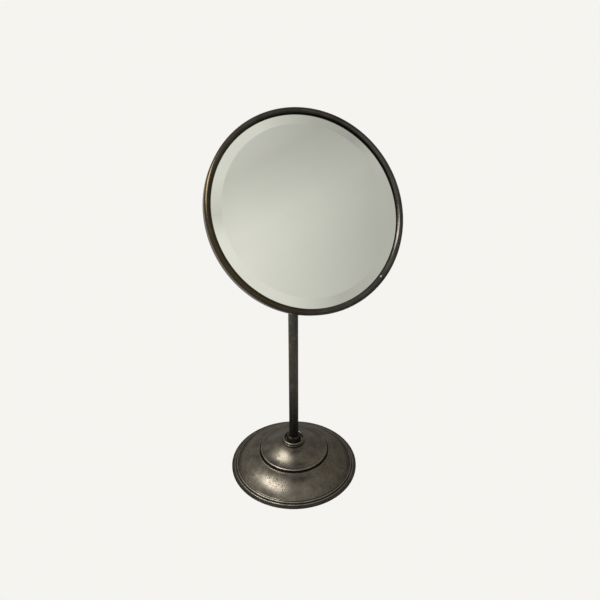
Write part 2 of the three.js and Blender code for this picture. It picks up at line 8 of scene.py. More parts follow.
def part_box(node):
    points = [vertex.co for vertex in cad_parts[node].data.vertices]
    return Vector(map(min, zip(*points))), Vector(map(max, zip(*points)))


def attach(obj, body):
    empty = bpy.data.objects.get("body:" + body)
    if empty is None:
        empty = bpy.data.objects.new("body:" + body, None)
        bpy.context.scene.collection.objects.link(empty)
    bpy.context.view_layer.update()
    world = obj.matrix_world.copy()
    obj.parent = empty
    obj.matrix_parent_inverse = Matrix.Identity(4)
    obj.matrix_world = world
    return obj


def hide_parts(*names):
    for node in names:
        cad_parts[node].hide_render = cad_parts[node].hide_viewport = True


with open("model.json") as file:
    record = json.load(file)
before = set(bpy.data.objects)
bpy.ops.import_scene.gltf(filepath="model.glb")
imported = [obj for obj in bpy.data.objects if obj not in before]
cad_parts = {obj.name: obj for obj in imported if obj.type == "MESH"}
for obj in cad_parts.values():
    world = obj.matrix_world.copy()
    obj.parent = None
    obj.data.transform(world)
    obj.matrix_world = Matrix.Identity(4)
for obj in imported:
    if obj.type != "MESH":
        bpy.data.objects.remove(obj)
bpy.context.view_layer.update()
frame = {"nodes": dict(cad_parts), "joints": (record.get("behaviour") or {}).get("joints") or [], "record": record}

# ---- places and sizes -------------------------------------------------------------------------

# Lengths are in millimetres. The points, such as BALL, are in metres, as the frame gives them.
MM = 0.001
NODES = frame["nodes"]
JOINTS = {joint["name"]: joint for joint in frame["joints"]}
UP = Vector((0, 0, 1))
ACROSS = Vector((1, 0, 0))
STEM_FOOT = Vector((0, 0, 0))
BALL = Vector(JOINTS["head_tilt"]["pos_m"])
FACING = Vector(JOINTS["mirror_spin"]["axis"]).normalized()
CLEARANCE = 0.3
FRAME_BEAD = 3.15  # half the thickness of the frame's rolled bead
FRAME_SEAM = math.radians(-52.5)
SAME_PLACE = 0.001
SHORTEST_EDGE = 0.002


def extent(node, origin=STEM_FOOT, axis=UP):
    """Lowest height, highest height and widest radius of a part about an axis."""
    spots = [vertex.co - origin for vertex in NODES[node].data.vertices]
    heights = [spot.dot(axis) for spot in spots]
    radii = [(spot - height * axis).length for spot, height in zip(spots, heights)]
    return min(heights) / MM, max(heights) / MM, max(radii) / MM


def head_extent(node):
    """The same about the mirror's own axis, with heights measured from the ball."""
    return extent(node, BALL, FACING)


def width(node):
    """Widest radius of a part about the stem's axis."""
    return extent(node)[2]


# ---- modelling helpers ------------------------------------------------------------------------


def arc(radius, height, size, start, stop, steps):
    """Rings round a rounded edge, angles in degrees from straight out."""
    rings = []
    for step in range(steps + 1):
        angle = math.radians(start + (stop - start) * step / steps)
        rings.append((radius + size * math.cos(angle), height + size * math.sin(angle)))
    return rings


def sweep(start, pull_start, pull_end, stop, offset, steps):
    """Rings down a smooth spun curve, moved inwards by the wall's thickness."""
    rings = []
    points = (start, pull_start, pull_end, stop)
    for step in range(steps + 1):
        t = step / steps
        weights = ((1 - t) ** 3, 3 * t * (1 - t) ** 2, 3 * t * t * (1 - t), t**3)
        slopes = (-3 * (1 - t) ** 2, 3 * (1 - t) * (1 - 3 * t), 3 * t * (2 - 3 * t), 3 * t * t)
        radius, height = (sum(w * p[i] for w, p in zip(weights, points)) for i in (0, 1))
        across, rise = (sum(w * p[i] for w, p in zip(slopes, points)) for i in (0, 1))
        length = math.hypot(across, rise)
        rings.append((radius - offset * rise / length, height + offset * across / length))
    return rings


def only(piece):
    """Leaves edit mode and selects one piece alone."""
    if bpy.context.object and bpy.context.object.mode != "OBJECT":
        bpy.ops.object.mode_set(mode="OBJECT")
    bpy.ops.object.select_all(action="DESELECT")
    piece.select_set(True)
    bpy.context.view_layer.objects.active = piece


def edit(piece):
    """Opens one piece in edit mode with all of it selected."""
    only(piece)
    bpy.ops.object.mode_set(mode="EDIT")
    bpy.ops.mesh.select_mode(type="VERT")
    bpy.ops.mesh.select_all(action="SELECT")


def done_editing():
    """Joins points that lie in one place, faces every side outwards and leaves edit mode."""
    bpy.ops.mesh.select_all(action="SELECT")
    bpy.ops.mesh.remove_doubles(threshold=SAME_PLACE * MM)
    bpy.ops.mesh.normals_make_consistent(inside=False)
    bpy.ops.object.mode_set(mode="OBJECT")


def select_ring(piece, count, last):
    """Selects the first or the last ring of a turned piece, by the order it was drawn."""
    bpy.ops.mesh.select_all(action="DESELECT")
    bpy.ops.object.mode_set(mode="OBJECT")
    mesh = piece.data
    total = len(mesh.vertices)
    chosen = range(total - count, total) if last else range(count)
    for index in chosen:
        mesh.vertices[index].select = True
    bpy.ops.object.mode_set(mode="EDIT")


def select_both_rims(piece, count):
    """Selects the first and the last ring together, as two loops of edges."""
    bpy.ops.object.mode_set(mode="OBJECT")
    mesh = piece.data
    last_start = len(mesh.vertices) - count
    for vertex in mesh.vertices:
        vertex.select = vertex.index < count or vertex.index >= last_start
    for edge in mesh.edges:
        start, end = edge.vertices
        in_first = start < count and end < count
        in_last = start >= last_start and end >= last_start
        edge.select = in_first or in_last
    bpy.ops.object.mode_set(mode="EDIT")
    bpy.ops.mesh.select_mode(type="EDGE")


def turned(name, rings, sides=128, ends="joined"):
    """A piece drawn out ring by ring from a circle, with its ends joined or capped."""
    bpy.ops.object.select_all(action="DESELECT")
    radius, height = rings[0]
    bpy.ops.mesh.primitive_circle_add(vertices=sides, radius=radius * MM)
    piece = bpy.context.object
    piece.name = name
    edit(piece)
    bpy.ops.transform.translate(value=(0, 0, height * MM))
    for next_radius, next_height in rings[1:]:
        bpy.ops.mesh.extrude_edges_indiv()
        bpy.ops.transform.translate(value=(0, 0, (next_height - height) * MM))
        grow = next_radius / radius
        bpy.ops.transform.resize(value=(grow, grow, 1), center_override=(0, 0, 0))
        radius, height = next_radius, next_height
    if ends == "joined":
        select_both_rims(piece, sides)
        bpy.ops.mesh.bridge_edge_loops()
    else:
        for last in (False, True):
            select_ring(piece, sides, last)
            bpy.ops.mesh.edge_face_add()
    done_editing()
    return piece


def cut(piece, tool, how="DIFFERENCE"):
    """Cuts a piece with a tool, or joins the two, or keeps what they share. It uses up the tool."""
    only(piece)
    change = piece.modifiers.new("cut", "BOOLEAN")
    change.operation = how
    change.object = tool
    change.solver = "EXACT"
    bpy.ops.object.modifier_apply(modifier=change.name)
    bpy.data.objects.remove(tool)


def bar(size, centre):
    """A square cutting bar of a size, about a centre."""
    bpy.ops.object.select_all(action="DESELECT")
    bpy.ops.mesh.primitive_cube_add(size=1, location=[c * MM for c in centre])
    tool = bpy.context.object
    tool.scale = [s * MM for s in size]
    bpy.ops.object.transform_apply(location=True, rotation=True, scale=True)
    return tool


def drill(radius, bottom, top, centre=(0, 0), sides=32):
    """An upright round rod, or a prism where it has few sides."""
    bpy.ops.object.select_all(action="DESELECT")
    middle = (centre[0] * MM, centre[1] * MM, (bottom + top) / 2 * MM)
    depth = (top - bottom) * MM
    bpy.ops.mesh.primitive_cylinder_add(
        vertices=sides, radius=radius * MM, depth=depth, location=middle
    )
    bpy.ops.object.transform_apply(location=True, rotation=True, scale=True)
    return bpy.context.object


def soften(piece, width, steps=2, angle=35):
    """Breaks the sharp edges of a finished shape."""
    only(piece)
    change = piece.modifiers.new("edges", "BEVEL")
    change.width = width * MM
    change.segments = steps
    change.limit_method = "ANGLE"
    change.angle_limit = math.radians(angle)
    bpy.ops.object.modifier_apply(modifier=change.name)
    edit(piece)
    bpy.ops.mesh.dissolve_degenerate(threshold=SHORTEST_EDGE * MM)
    done_editing()
    return piece


def smooth(piece, angle=40):
    """Shades a piece smoothly, except across edges sharper than an angle in degrees."""
    only(piece)
    bpy.ops.object.shade_smooth_by_angle(angle=math.radians(angle))
    return piece


def place(piece, origin, axis):
    """Tips a piece drawn upright to lie along an axis from an origin, without twisting it."""
    along = axis.normalized()
    side = along.cross(ACROSS).normalized()
    turn = Matrix((ACROSS, side, along)).transposed().to_4x4()
    piece.matrix_world = Matrix.Translation(origin) @ turn
    only(piece)
    bpy.ops.object.transform_apply(location=True, rotation=True, scale=True)


def finished(piece, body, slot, *nodes):
    """Gives a piece its finish and its body, and hides the plain parts it stands for."""
    piece.data.materials.clear()
    piece.data.materials.append(FINISHES[slot])
    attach(piece, body)
    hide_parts(*nodes)


def ring_places(count, circle, first):
    """Places evenly round a circle of a given radius, the first at an angle in degrees."""
    angles = [math.radians(first + 360 * i / count) for i in range(count)]
    return [(circle * math.cos(a), circle * math.sin(a)) for a in angles]


SOCKET_SCREWS = ring_places(3, 16.5, 90)
PLATE_RIVETS = ring_places(4, 25.5, 45)
RIVET_HOLE = 1.65


# ---- shading ----------------------------------------------------------------------------------


class Shading:
    """Shading steps being put together, one feeding the next."""

    def __init__(self, tree):
        self.tree = tree

    def add(self, kind, **settings):
        node = self.tree.nodes.new(kind)
        for key, value in settings.items():
            setattr(node, key, value)
        return node

    def join(self, source, target):
        self.tree.links.new(source, target)

    def between(self, source, low, high, to_low=0.0, to_high=1.0):
        """Carries one range of values over to another, and holds it at the ends."""
        node = self.add("ShaderNodeMapRange", clamp=True)
        node.inputs["From Min"].default_value = low
        node.inputs["From Max"].default_value = high
        node.inputs["To Min"].default_value = to_low
        node.inputs["To Max"].default_value = to_high
        self.join(source, node.inputs["Value"])
        return node.outputs["Result"]

    def calc(self, how, first, second):
        """A sum on two values, each a number or another step's result."""
        node = self.add("ShaderNodeMath", operation=how)
        for socket, value in zip(node.inputs, (first, second)):
            if isinstance(value, (int, float)):
                socket.default_value = value
            else:
                self.join(value, socket)
        return node.outputs["Value"]

    def shades(self, source, *stops):
        """A run of colours through stops, each a place and its red, green and blue."""
        node = self.add("ShaderNodeValToRGB")
        ramp = node.color_ramp
        while len(ramp.elements) < len(stops):
            ramp.elements.new(0.5)
        for element, (spot, colour) in zip(ramp.elements, stops):
            element.position = spot
            element.color = (*colour, 1)
        self.join(source, node.inputs["Fac"])
        return node.outputs["Color"]


class Finish(Shading):
    """A material for the mirror, its patterns laid out in metres from the stem's foot."""

    def __init__(self, name):
        self.material = bpy.data.materials.new(name)
        self.material.use_nodes = True
        super().__init__(self.material.node_tree)
        self.shader = self.tree.nodes["Principled BSDF"]
        self.place = self.add("ShaderNodeTexCoord").outputs["Object"]

    def stretched(self, scale):
        """The pattern's place, drawn out along the axes with small scales."""
        node = self.add("ShaderNodeMapping")
        node.inputs["Scale"].default_value = scale
        self.join(self.place, node.inputs["Vector"])
        return node.outputs["Vector"]

    def noise(self, scale, detail=4.0, roughness=0.55, where=None):
        """A cloudy pattern, finer as its scale grows."""
        node = self.add("ShaderNodeTexNoise")
        node.inputs["Scale"].default_value = scale
        node.inputs["Detail"].default_value = detail
        node.inputs["Roughness"].default_value = roughness
        self.join(where or self.place, node.inputs["Vector"])
        return node.outputs["Fac"]

    def cells(self, scale):
        """Distance from the nearest of many scattered points."""
        node = self.add("ShaderNodeTexVoronoi")
        node.inputs["Scale"].default_value = scale
        self.join(self.place, node.inputs["Vector"])
        return node.outputs["Distance"]

    def mixed(self, amount, first, second):
        """Two colours, more of the second as the amount grows."""
        node = self.add("ShaderNodeMix", data_type="RGBA")
        self.join(amount, node.inputs["Factor"])
        for name, value in (("A", first), ("B", second)):
            socket = [s for s in node.inputs if s.name == name and s.type == "RGBA"][0]
            if isinstance(value, tuple):
                socket.default_value = (*value, 1)
            else:
                self.join(value, socket)
        return [s for s in node.outputs if s.type == "RGBA"][0]

    def relief(self, height, strength, distance):
        """Small bumps on the surface, their distance in metres."""
        node = self.add("ShaderNodeBump")
        node.inputs["Strength"].default_value = strength
        node.inputs["Distance"].default_value = distance
        self.join(height, node.inputs["Height"])
        self.join(node.outputs["Normal"], self.shader.inputs["Normal"])

    def colour(self, source):
        self.join(source, self.shader.inputs["Base Color"])

    def gloss(self, source):
        self.join(source, self.shader.inputs["Roughness"])

    def along(self, source, axis):
        """How far a place lies along an axis, in millimetres."""
        node = self.add("ShaderNodeVectorMath", operation="DOT_PRODUCT")
        self.join(source, node.inputs[0])
        node.inputs[1].default_value = Vector(axis).normalized() / MM
        return node.outputs["Value"]

    def out_from_ball(self, axis):
        """How far a place lies from the ball along an axis, in millimetres."""
        return self.along(self.from_point(BALL), axis)

    def from_point(self, point):
        """The step from a point to each place on the surface."""
        node = self.add("ShaderNodeVectorMath", operation="SUBTRACT")
        self.join(self.place, node.inputs[0])
        node.inputs[1].default_value = point
        return node.outputs["Vector"]

    def reach_and_height(self, head=False):
        """Distance out from the stem's axis, or the mirror's, and height along it."""
        origin, axis = (BALL, FACING) if head else (STEM_FOOT, UP)
        start = self.from_point(origin)
        height = self.along(start, axis)
        far = self.add("ShaderNodeVectorMath", operation="CROSS_PRODUCT")
        self.join(start, far.inputs[0])
        far.inputs[1].default_value = axis / MM
        length = self.add("ShaderNodeVectorMath", operation="LENGTH")
        self.join(far.outputs["Vector"], length.inputs[0])
        return length.outputs["Value"], height

    def distance(self, point):
        """How far a place lies from a point, in millimetres."""
        length = self.add("ShaderNodeVectorMath", operation="LENGTH")
        self.join(self.from_point(point), length.inputs[0])
        return self.calc("MULTIPLY", length.outputs["Value"], 1 / MM)

    def band(self, source, middle, half_width):
        """One in the middle of a band, falling to nothing at its edges."""
        off = self.calc("ABSOLUTE", self.calc("SUBTRACT", source, middle), 0.0)
        return self.between(off, 0.3 * half_width, half_width, 1.0, 0.0)

    def bands(self, source, *spots):
        """The strongest of several bands, each a middle and a half width."""
        total = self.band(source, *spots[0])
        for spot in spots[1:]:
            total = self.calc("MAXIMUM", total, self.band(source, *spot))
        return total

    def specks(self, scale, middle, rim):
        """Small round spots, full in the middle and gone at the rim."""
        return self.between(self.cells(scale), middle, rim, 1.0, 0.0)

    def metal(self, amount=1.0):
        self.shader.inputs["Metallic"].default_value = amount


def aged_nickel():
    """Dull plated brass, mottled and pitted, worn bright on beads, with painted shade in grooves and foot."""
    finish = Finish("aged_nickel")
    finish.metal()
    edge, lip = width("base_skirt"), width("base_dome")
    mottle = finish.noise(70, 7, 0.66)
    bloom = finish.noise(17, 3, 0.5)
    patches = finish.between(finish.noise(34, 4, 0.6), 0.46, 0.56)
    pits = finish.calc("MAXIMUM", finish.specks(430, 0.16, 0.30), finish.specks(900, 0.14, 0.26))
    pits = finish.calc("MULTIPLY", pits, patches)
    body = finish.shades(
        mottle,
        (0.30, (0.088, 0.079, 0.063)),
        (0.52, (0.144, 0.130, 0.106)),
        (0.75, (0.225, 0.197, 0.153)),
    )
    yellowed = finish.between(bloom, 0.52, 0.68, 0.0, 0.6)
    warm = finish.mixed(yellowed, body, (0.175, 0.145, 0.10))
    reach, height = finish.reach_and_height()
    beads = ((edge - 6.3, 0.9), (edge - 3.6, 0.8))
    step_and_lip = ((lip + 1.83, 0.7), (lip - 0.67, 0.9))
    crests = finish.bands(reach, *beads, *step_and_lip)
    worn = finish.between(finish.noise(60, 4, 0.6), 0.36, 0.60, 0.15, 1.0)
    bright = finish.mixed(finish.calc("MULTIPLY", crests, worn), warm, (0.235, 0.215, 0.185))
    # Painted shade: the grooves between the beads and the band round the foot are darkened to near black.
    groove_shade = finish.bands(reach, (edge - 5.1, 0.7), (edge - 8.0, 0.7))
    foot = finish.between(height, 2.3, 3.1, 1.0, 0.0)
    groove_and_foot_shade = finish.calc("MULTIPLY", finish.calc("MAXIMUM", groove_shade, foot), 0.8)
    glints = finish.calc("MULTIPLY", finish.specks(640, 0.12, 0.24), patches)
    bright = finish.mixed(finish.calc("MULTIPLY", glints, worn), bright, (0.36, 0.31, 0.22))
    with_painted_shade = finish.mixed(groove_and_foot_shade, bright, (0.024, 0.022, 0.019))
    finish.colour(finish.mixed(pits, with_painted_shade, (0.03, 0.026, 0.021)))
    dents = finish.calc("MULTIPLY", pits, -1.0)
    sparkle = finish.calc("MULTIPLY", finish.noise(520, 3, 0.6), patches)
    wear = finish.calc("ADD", finish.noise(150, 5, 0.6), finish.calc("MULTIPLY", sparkle, 1.9))
    wear = finish.calc("MULTIPLY", wear, finish.between(crests, 0.0, 1.0, 0.32, 0.04))
    finish.relief(finish.calc("ADD", wear, dents), 0.22, 0.0004)
    rough = finish.between(finish.noise(38, 5, 0.6), 0.3, 0.7, 0.26, 0.42)
    finish.gloss(finish.calc("ADD", rough, finish.calc("MULTIPLY", pits, 0.25)))
    return finish.material


def dark_stem():
    """Dark plated tube, drawn lengthwise, nearly black where it meets the base."""
    finish = Finish("dark_stem")
    finish.metal()
    drawn = finish.noise(90, 5, 0.6, finish.stretched((1, 1, 0.03)))
    spots = finish.noise(130, 5, 0.65)
    body = finish.shades(
        spots,
        (0.32, (0.068, 0.063, 0.053)),
        (0.55, (0.100, 0.093, 0.078)),
        (0.78, (0.19, 0.17, 0.132)),
    )
    streaks = finish.between(drawn, 0.50, 0.66, 0.0, 0.65)
    streaked = finish.mixed(streaks, body, (0.20, 0.175, 0.13))
    _, height = finish.reach_and_height()
    # The tube is painted darker towards its lower end, near the base.
    low_darkening = finish.between(height, 45, 100, 0.85, 0.0)
    finish.colour(finish.mixed(low_darkening, streaked, (0.010, 0.010, 0.009)))
    finish.relief(finish.calc("ADD", drawn, finish.calc("MULTIPLY", spots, 0.5)), 0.14, 0.0003)
    finish.gloss(finish.between(drawn, 0.3, 0.7, 0.28, 0.42))
    return finish.material


def bronzed_frame():
    """Worn dark bronze over brass, with painted black shade in the corner where frame meets glass."""
    finish = Finish("bronzed_frame")
    finish.metal()
    lip = head_extent("bezel")[2] - 2 * FRAME_BEAD
    glass = head_extent("mirror_glass")[1]
    wear = finish.noise(42, 5, 0.6)
    fine = finish.noise(260, 3, 0.5)
    body = finish.shades(
        wear,
        (0.30, (0.045, 0.040, 0.035)),
        (0.50, (0.069, 0.063, 0.054)),
        (0.74, (0.100, 0.089, 0.074)),
    )
    # The left side is tinted amber: brass showing through, plus a painted warm reflection from that side.
    left = finish.between(finish.out_from_ball((-0.95, -0.12, -0.20)), 30, 82)
    brass_and_reflection = finish.calc("MULTIPLY", left, finish.between(fine, 0.3, 0.7, 0.7, 1.0))
    bare = finish.between(finish.noise(21, 4), 0.58, 0.70, 0.0, 0.35)
    warm = finish.mixed(bare, body, (0.13, 0.095, 0.048))
    warm = finish.mixed(finish.calc("MULTIPLY", brass_and_reflection, 0.75), warm, (0.044, 0.030, 0.005))
    reach, height = finish.reach_and_height(head=True)
    # Painted shade: a black line in the corner between the frame's lip and the glass, wider towards the top.
    inside = finish.between(reach, lip + 1.24, lip + 1.84, 1.0, 0.0)
    upper = finish.between(finish.out_from_ball((0.30, 0.52, 0.80)), 20, 90)
    depth = finish.calc("SUBTRACT", height, upper)
    deep = finish.between(depth, glass + 0.2, glass + 1.0, 1.0, 0.0)
    above_pan = finish.between(height, glass - 2.2, glass - 1.8)
    corner = finish.calc("MULTIPLY", finish.calc("MULTIPLY", inside, deep), above_pan)
    blackened = finish.mixed(corner, warm, (0.004, 0.004, 0.004))
    out = math.cos(FRAME_SEAM) * ACROSS + math.sin(FRAME_SEAM) * FACING.cross(ACROSS)
    solder = BALL + ((lip + 1.14) * out + (glass + 2.1) * FACING) * MM
    burr = finish.between(finish.distance(solder), 0.7, 1.2, 1.0, 0.0)
    finish.colour(finish.mixed(burr, blackened, (0.75, 0.72, 0.65)))
    finish.relief(finish.calc("ADD", wear, finish.calc("MULTIPLY", fine, 0.25)), 0.10, 0.0002)
    rough = finish.between(fine, 0.3, 0.7, 0.17, 0.26)
    finish.gloss(finish.calc("ADD", rough, finish.calc("MULTIPLY", corner, 0.5)))
    return finish.material


def blackened_nut():
    """Steel, blackened and rubbed a little bare."""
    finish = Finish("blackened_nut")
    finish.metal(0.9)
    spots = finish.noise(320, 5, 0.6)
    finish.colour(finish.shades(spots, (0.3, (0.022, 0.020, 0.017)), (0.75, (0.085, 0.075, 0.060))))
    finish.relief(spots, 0.25, 0.0003)
    finish.gloss(finish.between(spots, 0.3, 0.7, 0.35, 0.55))
    return finish.material


def plain_steel():
    """Turned steel, stained grey."""
    finish = Finish("steel")
    finish.metal()
    turned_marks = finish.noise(700, 4, 0.6)
    stain = finish.noise(90, 4, 0.6)
    finish.colour(finish.shades(stain, (0.3, (0.17, 0.165, 0.155)), (0.72, (0.36, 0.35, 0.33))))
    finish.relief(turned_marks, 0.10, 0.0002)
    finish.gloss(finish.between(stain, 0.3, 0.7, 0.26, 0.42))
    return finish.material


def plain_brass():
    """Brass gone brown, brighter where it is touched."""
    finish = Finish("plain_brass")
    finish.metal()
    stain = finish.noise(110, 5, 0.6)
    finish.colour(finish.shades(stain, (0.3, (0.16, 0.11, 0.045)), (0.72, (0.42, 0.31, 0.14))))
    finish.relief(finish.noise(600, 4, 0.6), 0.12, 0.0002)
    finish.gloss(finish.between(stain, 0.3, 0.7, 0.28, 0.46))
    return finish.material


def cast_iron():
    """Rough iron as it came from the sand."""
    finish = Finish("cast_iron")
    finish.metal(0.6)
    sand = finish.noise(420, 6, 0.7)
    finish.colour(finish.shades(sand, (0.3, (0.025, 0.024, 0.023)), (0.75, (0.085, 0.078, 0.070))))
    finish.relief(sand, 0.7, 0.0008)
    finish.gloss(finish.between(sand, 0.3, 0.7, 0.62, 0.85))
    return finish.material


def green_felt():
    """Dark green felt, worn grey in patches."""
    finish = Finish("felt")
    fibres = finish.noise(900, 6, 0.75)
    worn = finish.noise(36, 4, 0.6)
    cloth = finish.shades(fibres, (0.3, (0.018, 0.028, 0.018)), (0.75, (0.062, 0.083, 0.055)))
    finish.colour(finish.mixed(finish.between(worn, 0.5, 0.7, 0.0, 0.5), cloth, (0.07, 0.07, 0.05)))
    finish.relief(fibres, 0.8, 0.0008)
    finish.gloss(finish.between(fibres, 0.3, 0.7, 0.88, 1.0))
    return finish.material


def pressed_leather():
    """Brown leather with a pebbled grain."""
    finish = Finish("leather")
    grain = finish.cells(900)
    finish.colour(finish.shades(grain, (0.1, (0.035, 0.018, 0.010)), (0.6, (0.11, 0.058, 0.030))))
    finish.relief(grain, 0.5, 0.0004)
    finish.gloss(finish.between(grain, 0.0, 0.6, 0.65, 0.85))
    return finish.material


def backing_card():
    """Coarse brown card."""
    finish = Finish("card")
    pulp = finish.noise(500, 6, 0.7)
    finish.colour(finish.shades(pulp, (0.3, (0.14, 0.125, 0.09)), (0.72, (0.24, 0.21, 0.16))))
    finish.relief(pulp, 0.4, 0.0004)
    finish.gloss(finish.between(pulp, 0.3, 0.7, 0.82, 0.95))
    return finish.material


def silvered_glass():
    """Old silvered plate glass, faintly green and a little hazy where it was wiped."""
    finish = Finish("silvered_glass")
    finish.metal()
    haze = finish.noise(14, 4, 0.55)
    finish.colour(finish.shades(haze, (0.35, (0.855, 0.874, 0.800)), (0.70, (0.885, 0.902, 0.830))))
    wiped = finish.noise(24, 5, 0.6, finish.stretched((1, 3.5, 1)))
    finish.gloss(finish.between(wiped, 0.48, 0.75, 0.012, 0.06))
    return finish.material


# The finishes go by the names of the parts' own materials.
FINISHES = {
    "aged_nickel": aged_nickel(),
    "dark_stem": dark_stem(),
    "bronzed_frame": bronzed_frame(),
    "blackened_nut": blackened_nut(),
    "steel": plain_steel(),
    "plain_brass": plain_brass(),
    "cast_iron": cast_iron(),
    "felt": green_felt(),
    "leather": pressed_leather(),
    "card": backing_card(),
    "silvered_glass": silvered_glass(),
}

# Every plain part starts with its own finish. Detailed pieces then take the place of most of them.
for part in frame["record"]["subparts"]:
    mesh = NODES[part["node"]].data
    mesh.materials.clear()
    mesh.materials.append(FINISHES[part["material_slot"]])


# ---- base -------------------------------------------------------------------------------------


def part_way(outer_end, inner_end, run, rise):
    """A point partway along a slope, by its share of the run and its share of the rise."""
    return (
        outer_end[0] + run * (inner_end[0] - outer_end[0]),
        outer_end[1] + rise * (inner_end[1] - outer_end[1]),
    )


def spun_skirt():
    """Lower tier: a thin upright edge, two beads and a long slope up to the step."""
    foot, top, edge = extent("base_skirt")
    lower, lower_size, lower_height = edge - 4.1, 1.15, 2.9
    upper, upper_size, upper_height = edge - 7.0, 1.3, 4.2
    wall, step_bead, step_depth = 1.2, 0.6, 0.6
    step_radius = width("base_dome") + 1.9
    hole = width("outer_tube") + CLEARANCE
    step_height = top - step_bead
    seat = step_height - step_depth
    outer_end = (edge - 8.6, upper_height + 1.4)
    inner_end = (step_radius + 1, step_height)
    slope = (
        outer_end,
        part_way(outer_end, inner_end, 0.19, 0.47),
        part_way(outer_end, inner_end, 0.59, 0.89),
        inner_end,
    )
    rings = [
        (edge - 2.6, foot),
        *arc(edge - 0.3, foot + 0.3, 0.3, -90, 0, 3),
        *arc(edge - 0.4, 2.0, 0.4, 0, 70, 3),
        (edge - 0.9, 2.45),
        *arc(lower, lower_height, lower_size, -12, 128, 12),
        *arc(upper, upper_height, upper_size, -18, 128, 12),
        *sweep(*slope, 0, 30),
        *arc(step_radius, step_height, step_bead, 60, 180, 7),
        (step_radius - step_bead - 0.3, seat + 0.12),
        (step_radius - 2 * step_bead, seat),
        (hole, seat),
        (hole, seat - wall),
        *reversed(sweep(*slope, wall, 14)),
        (upper, upper_height - wall),
        (lower, lower_height - wall),
    ]
    skirt = smooth(turned("skirt_shell", rings, 336))
    finished(skirt, "stand", "aged_nickel", "base_skirt")


def spun_dome():
    """Upper tier: a rolled lip, a hollow flare and a round shoulder up to the neck."""
    foot, top, widest = extent("base_dome")
    lip, wall = 1.4, 1.1
    middle = widest - lip
    lip_height = foot - CLEARANCE + 3.2
    hole = width("outer_tube") + CLEARANCE
    lip_side = (widest - 2 * lip - 0.1, lip_height + lip - 0.1)
    neck_side = (width("neck_ring") + 0.6, top)
    slope = (
        lip_side,
        part_way(lip_side, neck_side, 0.38, 0.11),
        part_way(lip_side, neck_side, 0.61, 0.88),
        neck_side,
    )
    rings = [
        (middle - 1 - wall, foot),
        (middle - 1, foot),
        *arc(middle, lip_height, lip, -120, 104, 16),
        *sweep(*slope, 0, 30),
        (neck_side[0] - 1, top),
        (hole, top),
        (hole, top - wall),
        *reversed(sweep(*slope, wall, 12)),
    ]
    dome = smooth(turned("dome_shell", rings, 256))
    finished(dome, "stand", "aged_nickel", "base_dome")


def turned_neck_ring():
    """The cup at the foot of the stem, with a rounded lip round a sunk floor."""
    bottom, top, widest = extent("neck_ring")
    lip = 1.5
    floor = bottom + 1
    hole = width("outer_tube") + CLEARANCE
    rings = [
        (hole, bottom),
        (widest - 0.5, bottom),
        *arc(widest - 0.5, bottom + 0.5, 0.5, -60, 90, 5),
        (widest - 1.3, bottom + 1.2),
        *arc(widest - lip, top - lip, lip, -50, 180, 14),
        *arc(widest - 2 * lip - 0.6, floor + 0.6, 0.6, 0, -90, 4),
        (hole, floor),
    ]
    ring = smooth(turned("neck_ring_turned", rings, 96))
    finished(ring, "stand", "aged_nickel", "neck_ring")


def neck_nut():
    """A six-sided nut with its corners turned back top and bottom."""
    bottom, top, corner = extent("lock_nut")
    bore, chamfer = width("outer_tube") + 0.15, 1.2
    nut = drill(corner, bottom, top, sides=6)
    nut.name = "neck_nut"
    only(nut)
    rings = [
        (corner - chamfer, bottom),
        (corner, bottom + 0.6 * chamfer),
        (corner, top - 0.6 * chamfer),
        (corner - chamfer, top),
    ]
    cut(nut, turned("corner_tool", rings, 96, "capped"), "INTERSECT")
    cut(nut, drill(bore, bottom - 1, top + 1, sides=64))
    smooth(soften(nut, 0.15, 2, 30), 35)
    finished(nut, "stand", "blackened_nut", "lock_nut")


def bottom_felt():
    """A disc of felt under the base, trimmed a little smaller at its lower edge."""
    bottom, top, widest = extent("base_felt")
    rings = [
        (widest - 0.4, bottom),
        (widest, bottom + 0.4),
        (widest, top - 0.2),
        (widest - 0.2, top),
    ]
    pad = smooth(turned("felt_pad", rings, 128, "capped"))
    finished(pad, "stand", "felt", "base_felt")


def build_base():
    spun_skirt()
    spun_dome()
    turned_neck_ring()
    bottom_felt()
    neck_nut()


# ---- stem -------------------------------------------------------------------------------------


def drawn_tube():
    """The outer tube, open at both ends, its mouth's rim broken."""
    bottom, top, radius = extent("outer_tube")
    bore, rim = radius - 0.7, 0.25
    rings = [
        (bore, bottom),
        (radius, bottom),
        *[(radius, height) for height in (60, 140, 220)],
        (radius, top - rim),
        (radius - rim, top),
        (bore, top),
    ]
    tube = smooth(turned("stem_tube", rings, 64))
    finished(tube, "stand", "dark_stem", "outer_tube")


